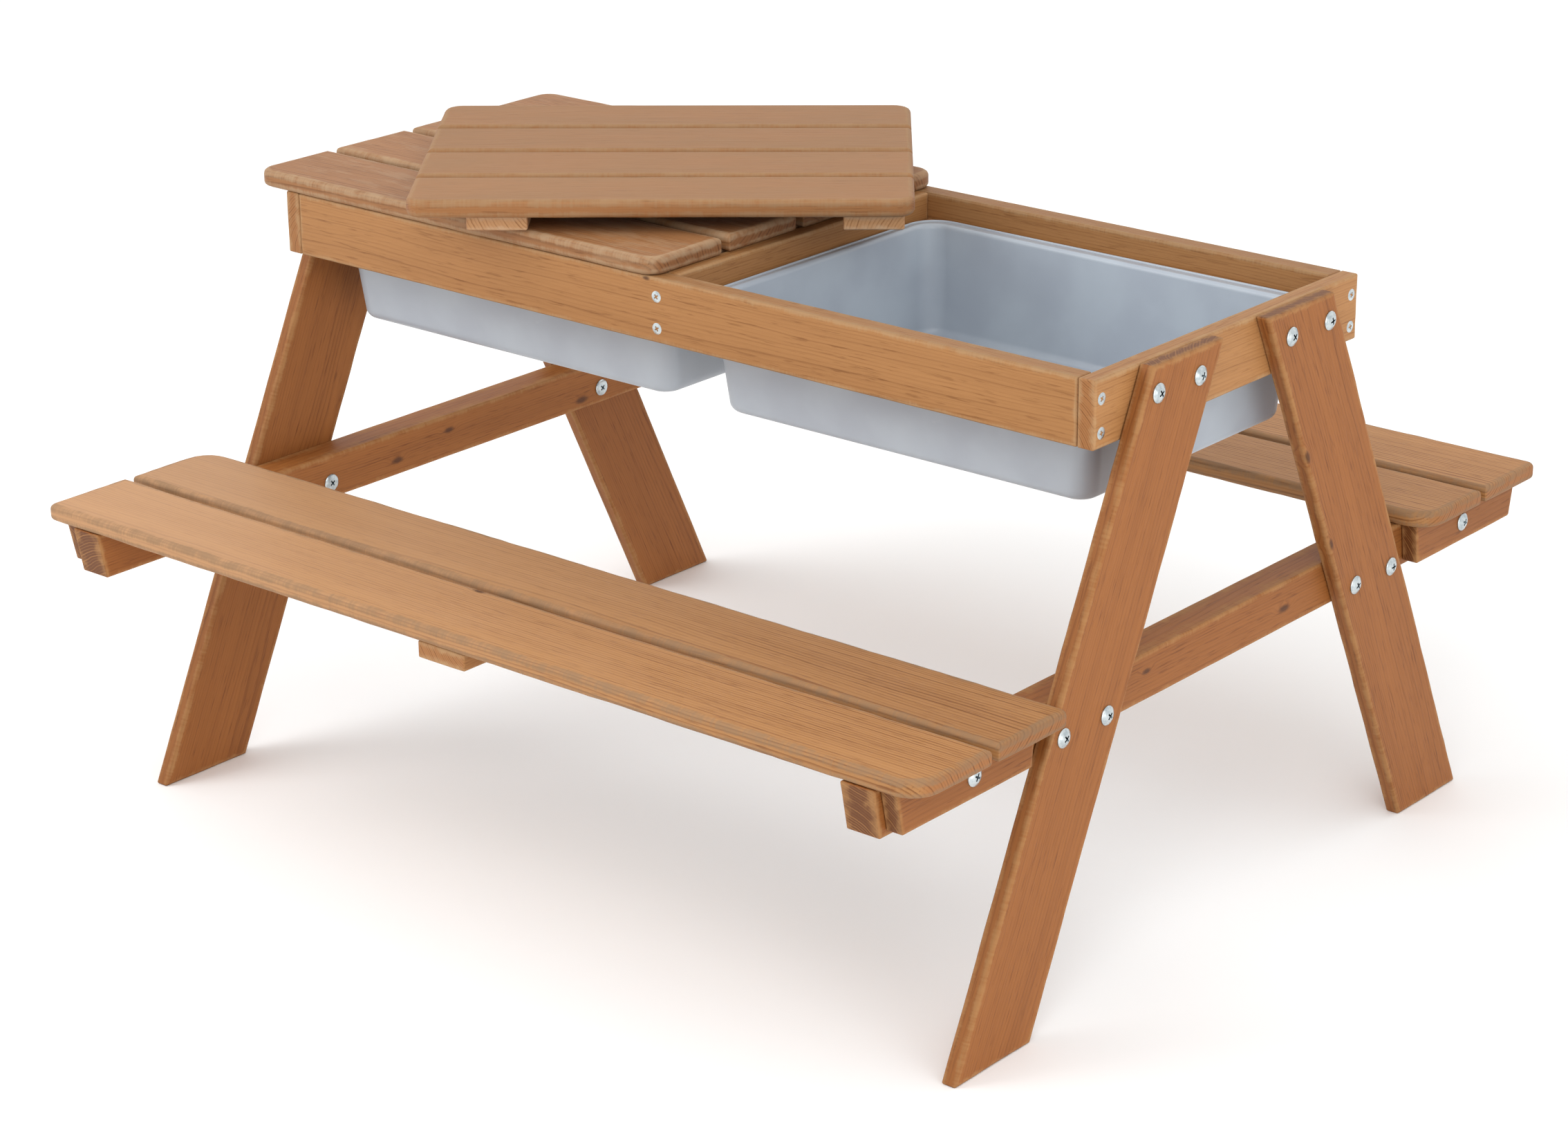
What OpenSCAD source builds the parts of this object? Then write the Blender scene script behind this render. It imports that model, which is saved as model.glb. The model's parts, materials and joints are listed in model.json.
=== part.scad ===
// Sand and water table: a child's wooden picnic table whose top frame holds two
// lift-out tubs under two lift-off slatted lids. Units are millimetres.
// X runs along the benches, Y from the front bench to the back one, Z up.
// The origin is on the floor, under the middle of the table.

/* [Top frame] */
// Length over the end aprons
frame_length = 824; // [780:1:900]
// Depth over the long aprons
frame_depth = 346; // [330:1:380]
// Height of the frame's top edge above the floor
frame_top = 480; // [460:1:520]
// Height of the apron boards
apron_height = 52; // [48:1:70]
// Thickness of the end aprons
end_apron_thickness = 15; // [12:0.5:20]
// Thickness of the front and back aprons
long_apron_thickness = 18; // [15:0.5:22]
// Thickness of the divider between the two wells
divider_thickness = 15; // [12:0.5:20]
// Width of the ledges that carry the tub rims
ledge_width = 13; // [10:0.5:13]
// Height of the ledges
ledge_height = 20; // [15:1:24]

/* [Legs and beams] */
// Thickness of the leg boards
leg_thickness = 13; // [12:0.5:20]
// Width of a leg's horizontal cut
leg_cut = 90; // [75:1:100]
// Distance from the middle plane to a leg's outer edge at the top
leg_top_reach = 119; // [110:1:130]
// Distance from the middle plane to a leg's outer edge at the floor
leg_foot_reach = 345; // [320:1:360]
// Thickness of the cross beams under the seats
beam_thickness = 30; // [20:1:34]
// Height of the cross beams
beam_height = 38; // [34:1:50]
// Recess of the beam and batten ends at their lower edge
end_slope = 7; // [0:1:12]

/* [Benches] */
// Length of the bench slats
bench_length = 893; // [870:1:960]
// How far the slats are shifted along the bench; the back bench is the front one turned round
bench_shift = 4; // [0:0.5:8]
// Height of the seat above the floor
seat_top = 267; // [250:1:290]
// Distance from the middle plane to the bench's outer edge
bench_reach = 420; // [410:1:440]
// Width of one bench slat
bench_slat_width = 82; // [70:1:90]
// Gap between the two slats of a bench
bench_gap = 7.5; // [4:0.5:10]
// Thickness of a bench slat
bench_slat_thickness = 14; // [12:0.5:20]
// Radius of the two well rounded corners of a bench, which lie diagonally
bench_corner = 24; // [5:1:35]
// Radius of the other two corners
bench_tight_corner = 7; // [2:1:35]
// Thickness of the bench end battens
bench_batten_thickness = 15; // [12:0.5:20]
// Height of the bench end battens
bench_batten_height = 33; // [28:1:40]
// Width of the cleat under the middle of a bench
cleat_width = 48; // [36:1:70]
// Thickness of the cleat
cleat_thickness = 14; // [10:0.5:20]

/* [Lids] */
// Length of a lid, along its slats
lid_length = 443; // [430:1:450]
// Width of one lid slat
lid_slat_width = 81; // [75:0.5:84]
// Gap between lid slats
lid_gap = 9; // [4:0.5:10]
// Thickness of a lid slat
lid_slat_thickness = 14.5; // [12:0.5:18]
// Corner radius of a lid seen from above
lid_corner = 15; // [5:1:30]
// Width of the battens under a lid
lid_batten_width = 48; // [36:1:60]
// Thickness of the battens under a lid
lid_batten_thickness = 12; // [10:0.5:17]
// Length of the smaller lid that lies on top of the other one
parked_length = 398; // [394:1:443]
// Width of one slat of the parked lid
parked_slat_width = 75; // [73:0.5:84]
// Gap between the slats of the parked lid
parked_gap = 5.5; // [4:0.5:10]
// Turn of the parked lid
parked_turn = 39; // [0:0.5:60]
// Where the middle of the parked lid lies along X
parked_x = -146; // [-160:1:-80]
// Where the middle of the parked lid lies along Y
parked_y = 7; // [-60:1:60]

/* [Tubs] */
// Half length of a tub's rim
rim_half_length = 191; // [185:0.5:191]
// Half depth of a tub's rim
rim_half_depth = 151.5; // [149:0.5:152]
// How far the rim lies below the frame's top edge
rim_drop = 19; // [19:0.5:25]
// Thickness of the rim
rim_thickness = 2.5; // [2:0.1:4]
// Half length of the tub's body under the rim
tub_half_length = 183; // [170:0.5:184]
// Half depth of the tub's body under the rim
tub_half_depth = 140; // [125:0.5:141]
// Depth of the tub from the rim to the underside of its floor
tub_depth = 93; // [60:1:110]
// How far the walls lean in from the rim to the floor
tub_lean = 8; // [4:0.5:14]
// Wall and floor thickness of the tub
tub_wall = 2.5; // [2:0.1:4]
// Corner radius of the tub seen from above
tub_corner = 18; // [15:1:40]
// Radius between the tub's walls and its floor
tub_floor_radius = 9; // [6:1:20]

/* [Fasteners] */
// Diameter of the pan heads of bolts and sleeve nuts
pan_head = 15; // [12:0.5:18]
// Diameter of the bolt shanks
bolt_shank = 6; // [5:0.5:8]
// Outer diameter of the sleeve nuts' barrels
nut_barrel = 8; // [7:0.5:10]
// Diameter of the countersunk screw heads
screw_head = 9.5; // [8:0.5:11]
// Diameter of the screw shanks
screw_shank = 4; // [3:0.5:5]

/* [Hidden] */
$fn = 48;
end_x = frame_length / 2;
inner_x = end_x - end_apron_thickness;
side_y = frame_depth / 2;
inner_y = side_y - long_apron_thickness;
apron_bottom = frame_top - apron_height;
well_length = inner_x - divider_thickness / 2;
well_x = inner_x - well_length / 2;
ledge_top = frame_top - rim_drop - rim_thickness;
ledge_slack = 1;
ledge_edge = 1;

// Height of the flat disc at the top of the tub's form
tub_cap = 0.1;

leg_face = end_x + leg_thickness;
beam_inner = end_x - beam_thickness;
beam_top = seat_top - bench_slat_thickness;
beam_bottom = beam_top - beam_height;
beam_reach = bench_reach - 0.5;
batten_face = end_x + bench_batten_thickness;
batten_bottom = beam_top - bench_batten_height;
batten_outer = bench_reach - 6.5;
// Where a bench batten ends, against the leg's outer edge
batten_inner = 258;
bench_inner_edge = bench_reach - 2 * bench_slat_width - bench_gap;
outer_slat_y = bench_reach - bench_slat_width / 2;
inner_slat_y = bench_inner_edge + bench_slat_width / 2;
board_edge = 4;
small_edge = 2;
cleat_recess = 3;

lid_middle_gap = 2;
lid_x = -(lid_length + lid_middle_gap) / 2;
lid_batten_slack = 5;
lid_batten_length = 2 * (inner_y - lid_batten_slack);
outer_batten_x = -inner_x + lid_batten_slack + lid_batten_width / 2 - lid_x;
inner_batten_x = -divider_thickness / 2 - lid_batten_slack - lid_batten_width / 2 - lid_x;
lid_batten_places = [outer_batten_x, inner_batten_x];
// How far the parked lid's battens lie from its ends: the outer one and the inner one
parked_batten_insets = [47, 8];
parked_batten_places = [
    parked_batten_insets[0] + (lid_batten_width - parked_length) / 2,
    (parked_length - lid_batten_width) / 2 - parked_batten_insets[1]
];
parked_z = frame_top + lid_slat_thickness + lid_batten_thickness;

// Pan head: a straight rim under a cone, with crossed slots in its crown
pan_rim_height = 1.4;
pan_cone_height = 2;
pan_crown = 0.62 * pan_head;
pan_recess = 0.45 * pan_head;
pan_recess_depth = 1.8;
nut_head_height = 2.2;
nut_recess_depth = 1.2;
screw_recess = 0.5 * screw_head;
screw_recess_depth = 1.6;
// How far a bolt ends short of the far face of the boards that it joins
shank_play = 4;
// Overlap that keeps two pieces of one solid from only touching
overlap = 1;
nut_length = 14;
hole_play = 0.1;
bolt_hole = nut_barrel + 2 * hole_play;
screw_cone = 3;
top_bolt_z = frame_top - 21;
top_bolt_places = [60.5, 113];
beam_bolt_z = beam_bottom + 14;
beam_bolt_places = [168, 221];
bench_bolt_y = 328;
bench_bolt_z = batten_bottom + 17;
frame_screw_heights = [apron_bottom + 11.5, apron_bottom + 37];
frame_screw_length = 42;
ledge_screw_length = 26;
ledge_screw_places = [-150, 0, 150];
slat_screw_reach = 9;
batten_screw_sink = 12;
cleat_screw_spread = 12;
lid_screw_spread = 14;
batten_screw_length = bench_batten_height - batten_screw_sink + slat_screw_reach;
cleat_screw_length = cleat_thickness + slat_screw_reach;
lid_screw_length = lid_batten_thickness + slat_screw_reach;
// Shift of the screws of each slat, because the battens end short of the outer slats
lid_screw_shift = [13, 0, 0, -13];

frame_wood = "#b57c48";
bench_wood = "#bd8652";
lid_wood = "#b08056";
batten_wood = "#a9713f";
tub_grey = "#8e99a3";
zinc = "#c3cacc";

// ---- shapes that repeat ----

// Rectangle with rounded corners, centred on the origin
module rounded_rectangle(length, width, radius) {
    square([length - 2 * radius, width], center = true);
    square([length, width - 2 * radius], center = true);
    for (x = [-1, 1], y = [-1, 1])
        translate([x * (length / 2 - radius), y * (width / 2 - radius)])
            circle(r = radius);
}

// Board along X with its long edges rounded, its underside at z = 0
module board(length, width, thickness, radius) {
    translate([-length / 2, 0, thickness / 2])
        rotate([90, 0, 90])
            linear_extrude(length)
                rounded_rectangle(width, thickness, radius);
}

// Cut-off that rounds the outline corner at (x, y), seen from above
module corner_cut(x, y, radius, thickness) {
    translate([x, y, -overlap])
        mirror([x < 0 ? 1 : 0, 0, 0])
            mirror([0, y < 0 ? 1 : 0, 0])
                linear_extrude(thickness + 2 * overlap)
                    difference() {
                        translate([-radius, -radius])
                            square(radius + overlap);
                        translate([-radius, -radius])
                            circle(r = radius);
                    }
}

// Slat with its two corners on the given side rounded, by the left and the right radius;
// side 0 leaves it square
module slat(length, width, thickness, left_radius, right_radius, side) {
    difference() {
        board(length, width, thickness, board_edge);
        if (side != 0) {
            corner_cut(-length / 2, side * width / 2, left_radius, thickness);
            corner_cut(length / 2, side * width / 2, right_radius, thickness);
        }
    }
}

// Crossed slots of a driver recess, cut down from z = 0
module driver_recess(size, depth) {
    slot = size / 5;
    for (turn = [0, 90])
        rotate([0, 0, turn])
            translate([-size / 2, -slot / 2, -depth])
                cube([size, slot, depth + overlap]);
}

// Pan-head bolt along Z: the head sits on z = 0 and the shank goes down
module pan_bolt(shank_length) {
    difference() {
        union() {
            cylinder(d = pan_head, h = pan_rim_height);
            translate([0, 0, pan_rim_height])
                cylinder(d1 = pan_head, d2 = pan_crown, h = pan_cone_height);
            translate([0, 0, -shank_length])
                cylinder(d = bolt_shank, h = shank_length + overlap);
        }
        translate([0, 0, pan_rim_height + pan_cone_height])
            driver_recess(pan_recess, pan_recess_depth);
    }
}

// Sleeve nut along Z: the head sits on z = 0 and the barrel goes down
module sleeve_nut() {
    difference() {
        union() {
            cylinder(d = pan_head, h = nut_head_height);
            translate([0, 0, -nut_length])
                cylinder(d = nut_barrel, h = nut_length + overlap);
        }
        translate([0, 0, -nut_length - overlap])
            cylinder(d = bolt_shank + hole_play, h = nut_length);
        translate([0, 0, nut_head_height])
            driver_recess(pan_recess, nut_recess_depth);
    }
}

// Countersunk screw along Z: its face is at z = 0 and the shank goes down
module screw(length) {
    difference() {
        screw_space(length);
        driver_recess(screw_recess, screw_recess_depth);
    }
}

// The space that a countersunk screw fills
module screw_space(length) {
    translate([0, 0, -screw_cone])
        cylinder(d1 = screw_shank, d2 = screw_head, h = screw_cone);
    translate([0, 0, -length])
        cylinder(d = screw_shank, h = length - screw_cone);
}

// Puts its children's +Z axis outwards along +X (side 1) or -X (side -1)
module facing_x(side) {
    rotate([0, side * 90, 0])
        children();
}

// Puts its children's +Z axis outwards along +Y (side 1) or -Y (side -1)
module facing_y(side) {
    rotate([-side * 90, 0, 0])
        children();
}

// ---- places of the fasteners; each module repeats its children ----

module at_apron_screws(side_x, side) {
    for (z = frame_screw_heights)
        translate([side_x * end_x, side * (side_y - long_apron_thickness / 2), z])
            facing_x(side_x)
                children();
}

module at_divider_screws(side) {
    for (z = frame_screw_heights)
        translate([0, side * side_y, z])
            facing_y(side)
                children();
}

module at_ledge_screws(side_x, side) {
    for (x = ledge_screw_places)
        translate([side_x * well_x + x, side * (inner_y - ledge_width), ledge_top - ledge_height / 2])
            facing_y(-side)
                children();
}

module at_top_bolts(side_x, side, x) {
    for (y = top_bolt_places)
        translate([side_x * x, side * y, top_bolt_z])
            facing_x(side_x)
                children();
}

module at_beam_bolts(side_x, side, x) {
    for (y = beam_bolt_places)
        translate([side_x * x, side * y, beam_bolt_z])
            facing_x(side_x)
                children();
}

module at_bench_bolt(side_x, side, x) {
    translate([side_x * x, side * bench_bolt_y, bench_bolt_z])
        facing_x(side_x)
            children();
}

// Screws that go up from under a bench's end battens into its slats
module at_batten_screws(side_x, side) {
    x = side_x * (end_x + bench_batten_thickness / 2);
    for (y = [outer_slat_y, inner_slat_y])
        translate([x, side * y, batten_bottom + batten_screw_sink])
            rotate([180, 0, 0])
                children();
}

// Screws that go up from under a bench's cleat into its slats
module at_cleat_screws(side) {
    for (y = [outer_slat_y, inner_slat_y], x = [-cleat_screw_spread, cleat_screw_spread])
        translate([x, side * y, beam_top - cleat_thickness])
            rotate([180, 0, 0])
                children();
}

// Screws that go up through a lid's battens, in the lid's own place; those of the
// first and last slat lie nearer the lid's middle, because the battens end short
module at_lid_screws() {
    for (x = $batten_places, i = [0 : 3], y = [-lid_screw_spread, lid_screw_spread])
        translate([x, slat_place(i) + lid_screw_shift[i] + y, -lid_batten_thickness])
            rotate([180, 0, 0])
                children();
}

// ---- top frame ----

module long_apron(side) {
    color(frame_wood)
        difference() {
            translate([0, side * (side_y - long_apron_thickness / 2), apron_bottom])
                board(2 * inner_x, long_apron_thickness, apron_height, small_edge);
            for (x = [-1, 1])
                at_apron_screws(x, side)
                    screw_space(frame_screw_length);
            at_divider_screws(side)
                screw_space(frame_screw_length);
            for (x = [-1, 1])
                at_ledge_screws(x, side)
                    screw_space(ledge_screw_length);
        }
}

module end_apron(side_x) {
    color(frame_wood)
        difference() {
            translate([side_x * (end_x - end_apron_thickness / 2), 0, apron_bottom])
                rotate([0, 0, 90])
                    board(frame_depth, end_apron_thickness, apron_height, small_edge);
            for (side = [-1, 1]) {
                at_apron_screws(side_x, side)
                    screw_space(frame_screw_length);
                at_top_bolts(side_x, side, end_x)
                    cylinder(d = bolt_hole, h = 3 * end_apron_thickness, center = true);
            }
        }
}

module divider() {
    color(frame_wood)
        difference() {
            translate([0, 0, apron_bottom])
                rotate([0, 0, 90])
                    board(2 * inner_y, divider_thickness, apron_height, small_edge);
            for (side = [-1, 1])
                at_divider_screws(side)
                    screw_space(frame_screw_length);
        }
}

module ledge(side_x, side) {
    color(batten_wood)
        difference() {
            translate([side_x * well_x, side * (inner_y - ledge_width / 2), ledge_top - ledge_height])
                board(well_length - 2 * ledge_slack, ledge_width, ledge_height, ledge_edge);
            at_ledge_screws(side_x, side)
                screw_space(ledge_screw_length);
        }
}

// ---- tubs ----

// Solid with leaning walls and rounded corners; top at z = 0
module tub_form(inset, depth, floor_radius) {
    hull() {
        for (x = [-1, 1], y = [-1, 1])
            translate([x * (tub_half_length - tub_corner), y * (tub_half_depth - tub_corner), -tub_cap])
                cylinder(r = tub_corner - inset, h = tub_cap, $fn = 32);
        for (x = [-1, 1], y = [-1, 1])
            translate([x * (tub_half_length - tub_lean - tub_corner),
                       y * (tub_half_depth - tub_lean - tub_corner), -depth + floor_radius])
                rotate_extrude($fn = 32)
                    tub_floor_profile(tub_corner - inset, floor_radius);
    }
}

// Quarter round between wall and floor, for rotate_extrude
module tub_floor_profile(radius, floor_radius) {
    translate([0, -floor_radius])
        square([radius - floor_radius, floor_radius]);
    intersection() {
        translate([radius - floor_radius, 0])
            circle(r = floor_radius, $fn = 24);
        translate([0, -floor_radius])
            square([radius, floor_radius]);
    }
}

module tub(side_x) {
    color(tub_grey)
        translate([side_x * well_x, 0, frame_top - rim_drop])
            difference() {
                union() {
                    translate([0, 0, -rim_thickness])
                        linear_extrude(rim_thickness)
                            rounded_rectangle(2 * rim_half_length, 2 * rim_half_depth, tub_corner);
                    translate([0, 0, -rim_thickness / 2])
                        tub_form(0, tub_depth - rim_thickness / 2, tub_floor_radius);
                }
                translate([0, 0, tub_cap])
                    tub_form(tub_wall, tub_depth - tub_wall + tub_cap, tub_floor_radius - tub_wall);
            }
}

// ---- legs and beams ----

module leg(side_x, side) {
    color(frame_wood)
        difference() {
            translate([side_x > 0 ? end_x : -leg_face, 0, 0])
                rotate([90, 0, 90])
                    linear_extrude(leg_thickness)
                        polygon([
                            [side * leg_foot_reach, 0],
                            [side * (leg_foot_reach - leg_cut), 0],
                            [side * (leg_top_reach - leg_cut), frame_top],
                            [side * leg_top_reach, frame_top]
                        ]);
            at_top_bolts(side_x, side, leg_face)
                cylinder(d = bolt_hole, h = 3 * leg_thickness, center = true);
            at_beam_bolts(side_x, side, leg_face)
                cylinder(d = bolt_hole, h = 3 * leg_thickness, center = true);
        }
}

module beam(side_x) {
    color(frame_wood)
        difference() {
            translate([side_x > 0 ? beam_inner : -end_x, 0, 0])
                rotate([90, 0, 90])
                    linear_extrude(beam_thickness)
                        polygon([
                            [-beam_reach, beam_top],
                            [-beam_reach + end_slope, beam_bottom],
                            [beam_reach - end_slope, beam_bottom],
                            [beam_reach, beam_top]
                        ]);
            for (side = [-1, 1]) {
                at_beam_bolts(side_x, side, end_x)
                    cylinder(d = bolt_hole, h = 3 * beam_thickness, center = true);
                at_bench_bolt(side_x, side, end_x)
                    cylinder(d = bolt_hole, h = 3 * beam_thickness, center = true);
            }
        }
}

// ---- benches ----

// Slat of a bench; outwards is 1 for the outer slat and -1 for the inner one
module bench_slat(side, y, outwards) {
    left_radius = outwards < 0 ? bench_corner : bench_tight_corner;
    right_radius = outwards < 0 ? bench_tight_corner : bench_corner;
    color(bench_wood)
        difference() {
            rotate([0, 0, side < 0 ? 0 : 180])
                translate([bench_shift, -y, beam_top])
                    slat(bench_length, bench_slat_width, bench_slat_thickness,
                         left_radius, right_radius, -outwards);
            for (x = [-1, 1])
                at_batten_screws(x, side)
                    screw_space(batten_screw_length);
            at_cleat_screws(side)
                screw_space(cleat_screw_length);
        }
}

module bench_batten(side_x, side) {
    color(frame_wood)
        difference() {
            translate([side_x > 0 ? end_x : -batten_face, 0, 0])
                rotate([90, 0, 90])
                    linear_extrude(bench_batten_thickness)
                        polygon([
                            [side * batten_outer, beam_top],
                            [side * (batten_outer - end_slope), batten_bottom],
                            [side * (batten_inner + small_edge), batten_bottom],
                            [side * (batten_inner - small_edge), beam_top]
                        ]);
            at_bench_bolt(side_x, side, batten_face)
                cylinder(d = bolt_hole, h = 3 * bench_batten_thickness, center = true);
            at_batten_screws(side_x, side) {
                screw_space(batten_screw_length);
                cylinder(d = screw_head, h = batten_screw_sink + overlap);
            }
        }
}

module bench_cleat(side) {
    cleat_length = bench_reach - bench_inner_edge - 2 * cleat_recess;
    color(frame_wood)
        difference() {
            translate([0, side * (bench_reach + bench_inner_edge) / 2, beam_top - cleat_thickness])
                rotate([0, 0, 90])
                    board(cleat_length, cleat_width, cleat_thickness, small_edge);
            at_cleat_screws(side)
                screw_space(cleat_screw_length);
        }
}

// ---- lids ----

// Middle of slat i of a lid, counted from its front edge
function slat_place(i) = (i - 1.5) * $slat_pitch;

// Puts its children where the left lid lies, seated on the frame, with that lid's sizes
module seated() {
    $slat_length = lid_length;
    $slat_width = lid_slat_width;
    $slat_pitch = lid_slat_width + lid_gap;
    $batten_places = lid_batten_places;
    translate([lid_x, 0, frame_top])
        children();
}

// Puts its children where the right lid lies, parked on top of the left one, with its sizes
module parked() {
    $slat_length = parked_length;
    $slat_width = parked_slat_width;
    $slat_pitch = parked_slat_width + parked_gap;
    $batten_places = parked_batten_places;
    translate([parked_x, parked_y, parked_z])
        rotate([0, 0, parked_turn])
            children();
}

module lid_slat(i) {
    rounded_side = i == 0 ? -1 : i == 3 ? 1 : 0;
    color(lid_wood)
        difference() {
            translate([0, slat_place(i), 0])
                slat($slat_length, $slat_width, lid_slat_thickness,
                     lid_corner, lid_corner, rounded_side);
            at_lid_screws()
                screw_space(lid_screw_length);
        }
}

// Batten of a lid: 0 is the one near the table's end, 1 the one near the divider
module lid_batten(end) {
    color(batten_wood)
        difference() {
            translate([$batten_places[end], 0, -lid_batten_thickness])
                rotate([0, 0, 90])
                    board(lid_batten_length, lid_batten_width, lid_batten_thickness, small_edge);
            at_lid_screws()
                screw_space(lid_screw_length);
        }
}

// ---- groups of fasteners ----

module apron_screws() {
    color(zinc)
        for (x = [-1, 1], side = [-1, 1])
            at_apron_screws(x, side)
                screw(frame_screw_length);
}

module divider_screws() {
    color(zinc)
        for (side = [-1, 1])
            at_divider_screws(side)
                screw(frame_screw_length);
}

module ledge_screws() {
    color(zinc)
        for (x = [-1, 1], side = [-1, 1])
            at_ledge_screws(x, side)
                screw(ledge_screw_length);
}

module leg_top_bolts() {
    shank = leg_thickness + end_apron_thickness - shank_play;
    color(zinc)
        for (x = [-1, 1], side = [-1, 1])
            at_top_bolts(x, side, leg_face)
                pan_bolt(shank);
}

module leg_top_nuts() {
    color(zinc)
        for (x = [-1, 1], side = [-1, 1])
            at_top_bolts(x, side, inner_x)
                mirror([0, 0, 1])
                    sleeve_nut();
}

module beam_bolts() {
    shank = leg_thickness + beam_thickness - shank_play;
    color(zinc)
        for (x = [-1, 1], side = [-1, 1])
            at_beam_bolts(x, side, leg_face)
                pan_bolt(shank);
}

module beam_nuts() {
    color(zinc)
        for (x = [-1, 1], side = [-1, 1])
            at_beam_bolts(x, side, beam_inner)
                mirror([0, 0, 1])
                    sleeve_nut();
}

module bench_bolts() {
    shank = bench_batten_thickness + beam_thickness - shank_play;
    color(zinc)
        for (x = [-1, 1], side = [-1, 1])
            at_bench_bolt(x, side, batten_face)
                pan_bolt(shank);
}

module bench_nuts() {
    color(zinc)
        for (x = [-1, 1], side = [-1, 1])
            at_bench_bolt(x, side, beam_inner)
                mirror([0, 0, 1])
                    sleeve_nut();
}

module bench_screws(side) {
    color(zinc) {
        for (x = [-1, 1])
            at_batten_screws(x, side)
                screw(batten_screw_length);
        at_cleat_screws(side)
            screw(cleat_screw_length);
    }
}

module lid_screws() {
    color(zinc)
        at_lid_screws()
            screw(lid_screw_length);
}

// ---- the parts ----

long_apron(-1);  // apron_front
long_apron(1);  // apron_back
end_apron(-1);  // apron_left
end_apron(1);  // apron_right
divider();
ledge(-1, -1);  // ledge_front_left
ledge(1, -1);  // ledge_front_right
ledge(-1, 1);  // ledge_back_left
ledge(1, 1);  // ledge_back_right
tub(-1);  // tub_left
tub(1);  // tub_right
leg(-1, -1);  // leg_front_left
leg(1, -1);  // leg_front_right
leg(-1, 1);  // leg_back_left
leg(1, 1);  // leg_back_right
beam(-1);  // beam_left
beam(1);  // beam_right
bench_slat(-1, outer_slat_y, 1);  // bench_front_slat_outer
bench_slat(-1, inner_slat_y, -1);  // bench_front_slat_inner
bench_batten(-1, -1);  // bench_front_batten_left
bench_batten(1, -1);  // bench_front_batten_right
bench_cleat(-1);  // bench_front_cleat
bench_slat(1, outer_slat_y, 1);  // bench_back_slat_outer
bench_slat(1, inner_slat_y, -1);  // bench_back_slat_inner
bench_batten(-1, 1);  // bench_back_batten_left
bench_batten(1, 1);  // bench_back_batten_right
bench_cleat(1);  // bench_back_cleat
seated() lid_slat(0);  // lid_left_slat_1
seated() lid_slat(1);  // lid_left_slat_2
seated() lid_slat(2);  // lid_left_slat_3
seated() lid_slat(3);  // lid_left_slat_4
seated() lid_batten(0);  // lid_left_batten_outer
seated() lid_batten(1);  // lid_left_batten_inner
parked() lid_slat(0);  // lid_right_slat_1
parked() lid_slat(1);  // lid_right_slat_2
parked() lid_slat(2);  // lid_right_slat_3
parked() lid_slat(3);  // lid_right_slat_4
parked() lid_batten(0);  // lid_right_batten_outer
parked() lid_batten(1);  // lid_right_batten_inner
apron_screws();
divider_screws();
ledge_screws();
leg_top_bolts();
leg_top_nuts();
beam_bolts();
beam_nuts();
bench_bolts();
bench_nuts();
bench_screws(-1);  // bench_front_screws
bench_screws(1);  // bench_back_screws
seated() lid_screws();  // lid_left_screws
parked() lid_screws();  // lid_right_screws
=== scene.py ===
"""Looks of the sand and water table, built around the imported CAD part.

Sizes are metres in the part's own frame: X along the benches, Y from the front bench
to the back one, Z up from the floor. Every board is modelled anew with worn, rounded
edges from its CAD node's own box, and the tubs and fasteners are modelled in detail.
"""

import json
import math
import random

import bmesh
import bpy
from mathutils import Matrix, Vector, noise


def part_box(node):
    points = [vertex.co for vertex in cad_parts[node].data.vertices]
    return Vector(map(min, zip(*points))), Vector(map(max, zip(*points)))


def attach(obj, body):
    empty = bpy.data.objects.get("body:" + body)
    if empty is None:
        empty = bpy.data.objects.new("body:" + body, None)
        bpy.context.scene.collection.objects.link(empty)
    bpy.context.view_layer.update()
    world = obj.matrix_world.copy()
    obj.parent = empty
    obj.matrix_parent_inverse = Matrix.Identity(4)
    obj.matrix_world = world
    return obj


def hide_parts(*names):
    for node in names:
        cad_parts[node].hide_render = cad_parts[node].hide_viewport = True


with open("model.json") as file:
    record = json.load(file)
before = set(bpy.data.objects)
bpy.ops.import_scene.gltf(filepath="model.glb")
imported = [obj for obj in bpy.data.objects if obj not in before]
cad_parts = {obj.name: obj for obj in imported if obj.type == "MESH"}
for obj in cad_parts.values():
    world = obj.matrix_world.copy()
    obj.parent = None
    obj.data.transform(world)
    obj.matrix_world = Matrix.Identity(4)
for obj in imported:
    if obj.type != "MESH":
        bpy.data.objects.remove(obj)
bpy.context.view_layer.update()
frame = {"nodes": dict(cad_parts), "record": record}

X = Vector((1, 0, 0))
Y = Vector((0, 1, 0))
Z = Vector((0, 0, 1))
MM = 0.001

# ---- board shapes ----

ARC_STEPS = 5  # faces round one outline corner
EDGE_STEPS = 4  # faces across one rounded edge
SPAN = 11 * MM  # length of the faces along an edge
SHARP = 0.3 * MM  # smallest corner radius
WORN_BAND = 5 * MM  # width of the rubbed strip beside an edge
WEAR_DEPTH = 0.55 * MM  # deepest rub on an edge
WEAR_SCALE = 28  # how often the rub changes, per metre
WEAR_START = 0.35  # share of the depth that is rubbed away on average
SIDE_WEAR = 0.15  # wear on the narrow faces, midway between the edges
TONE_SPREAD = 0.07  # how much the boards differ in brightness
PITH_ANGLES = (22, 58)  # degrees between a board's width and the way to the pith
PITH_DISTANCES = (45 * MM, 110 * MM)
TRUNK_SPREAD = 40  # how far apart boards may lie in their trunk, so that each looks different
SEED_SPREAD = 90  # range of the shifts that give each board its own wear
LEVEL = 0.2 * MM  # corners this close to a height count as lying at it
FLAT_WEIGHT = 80  # how much the large faces lead the shading

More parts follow.
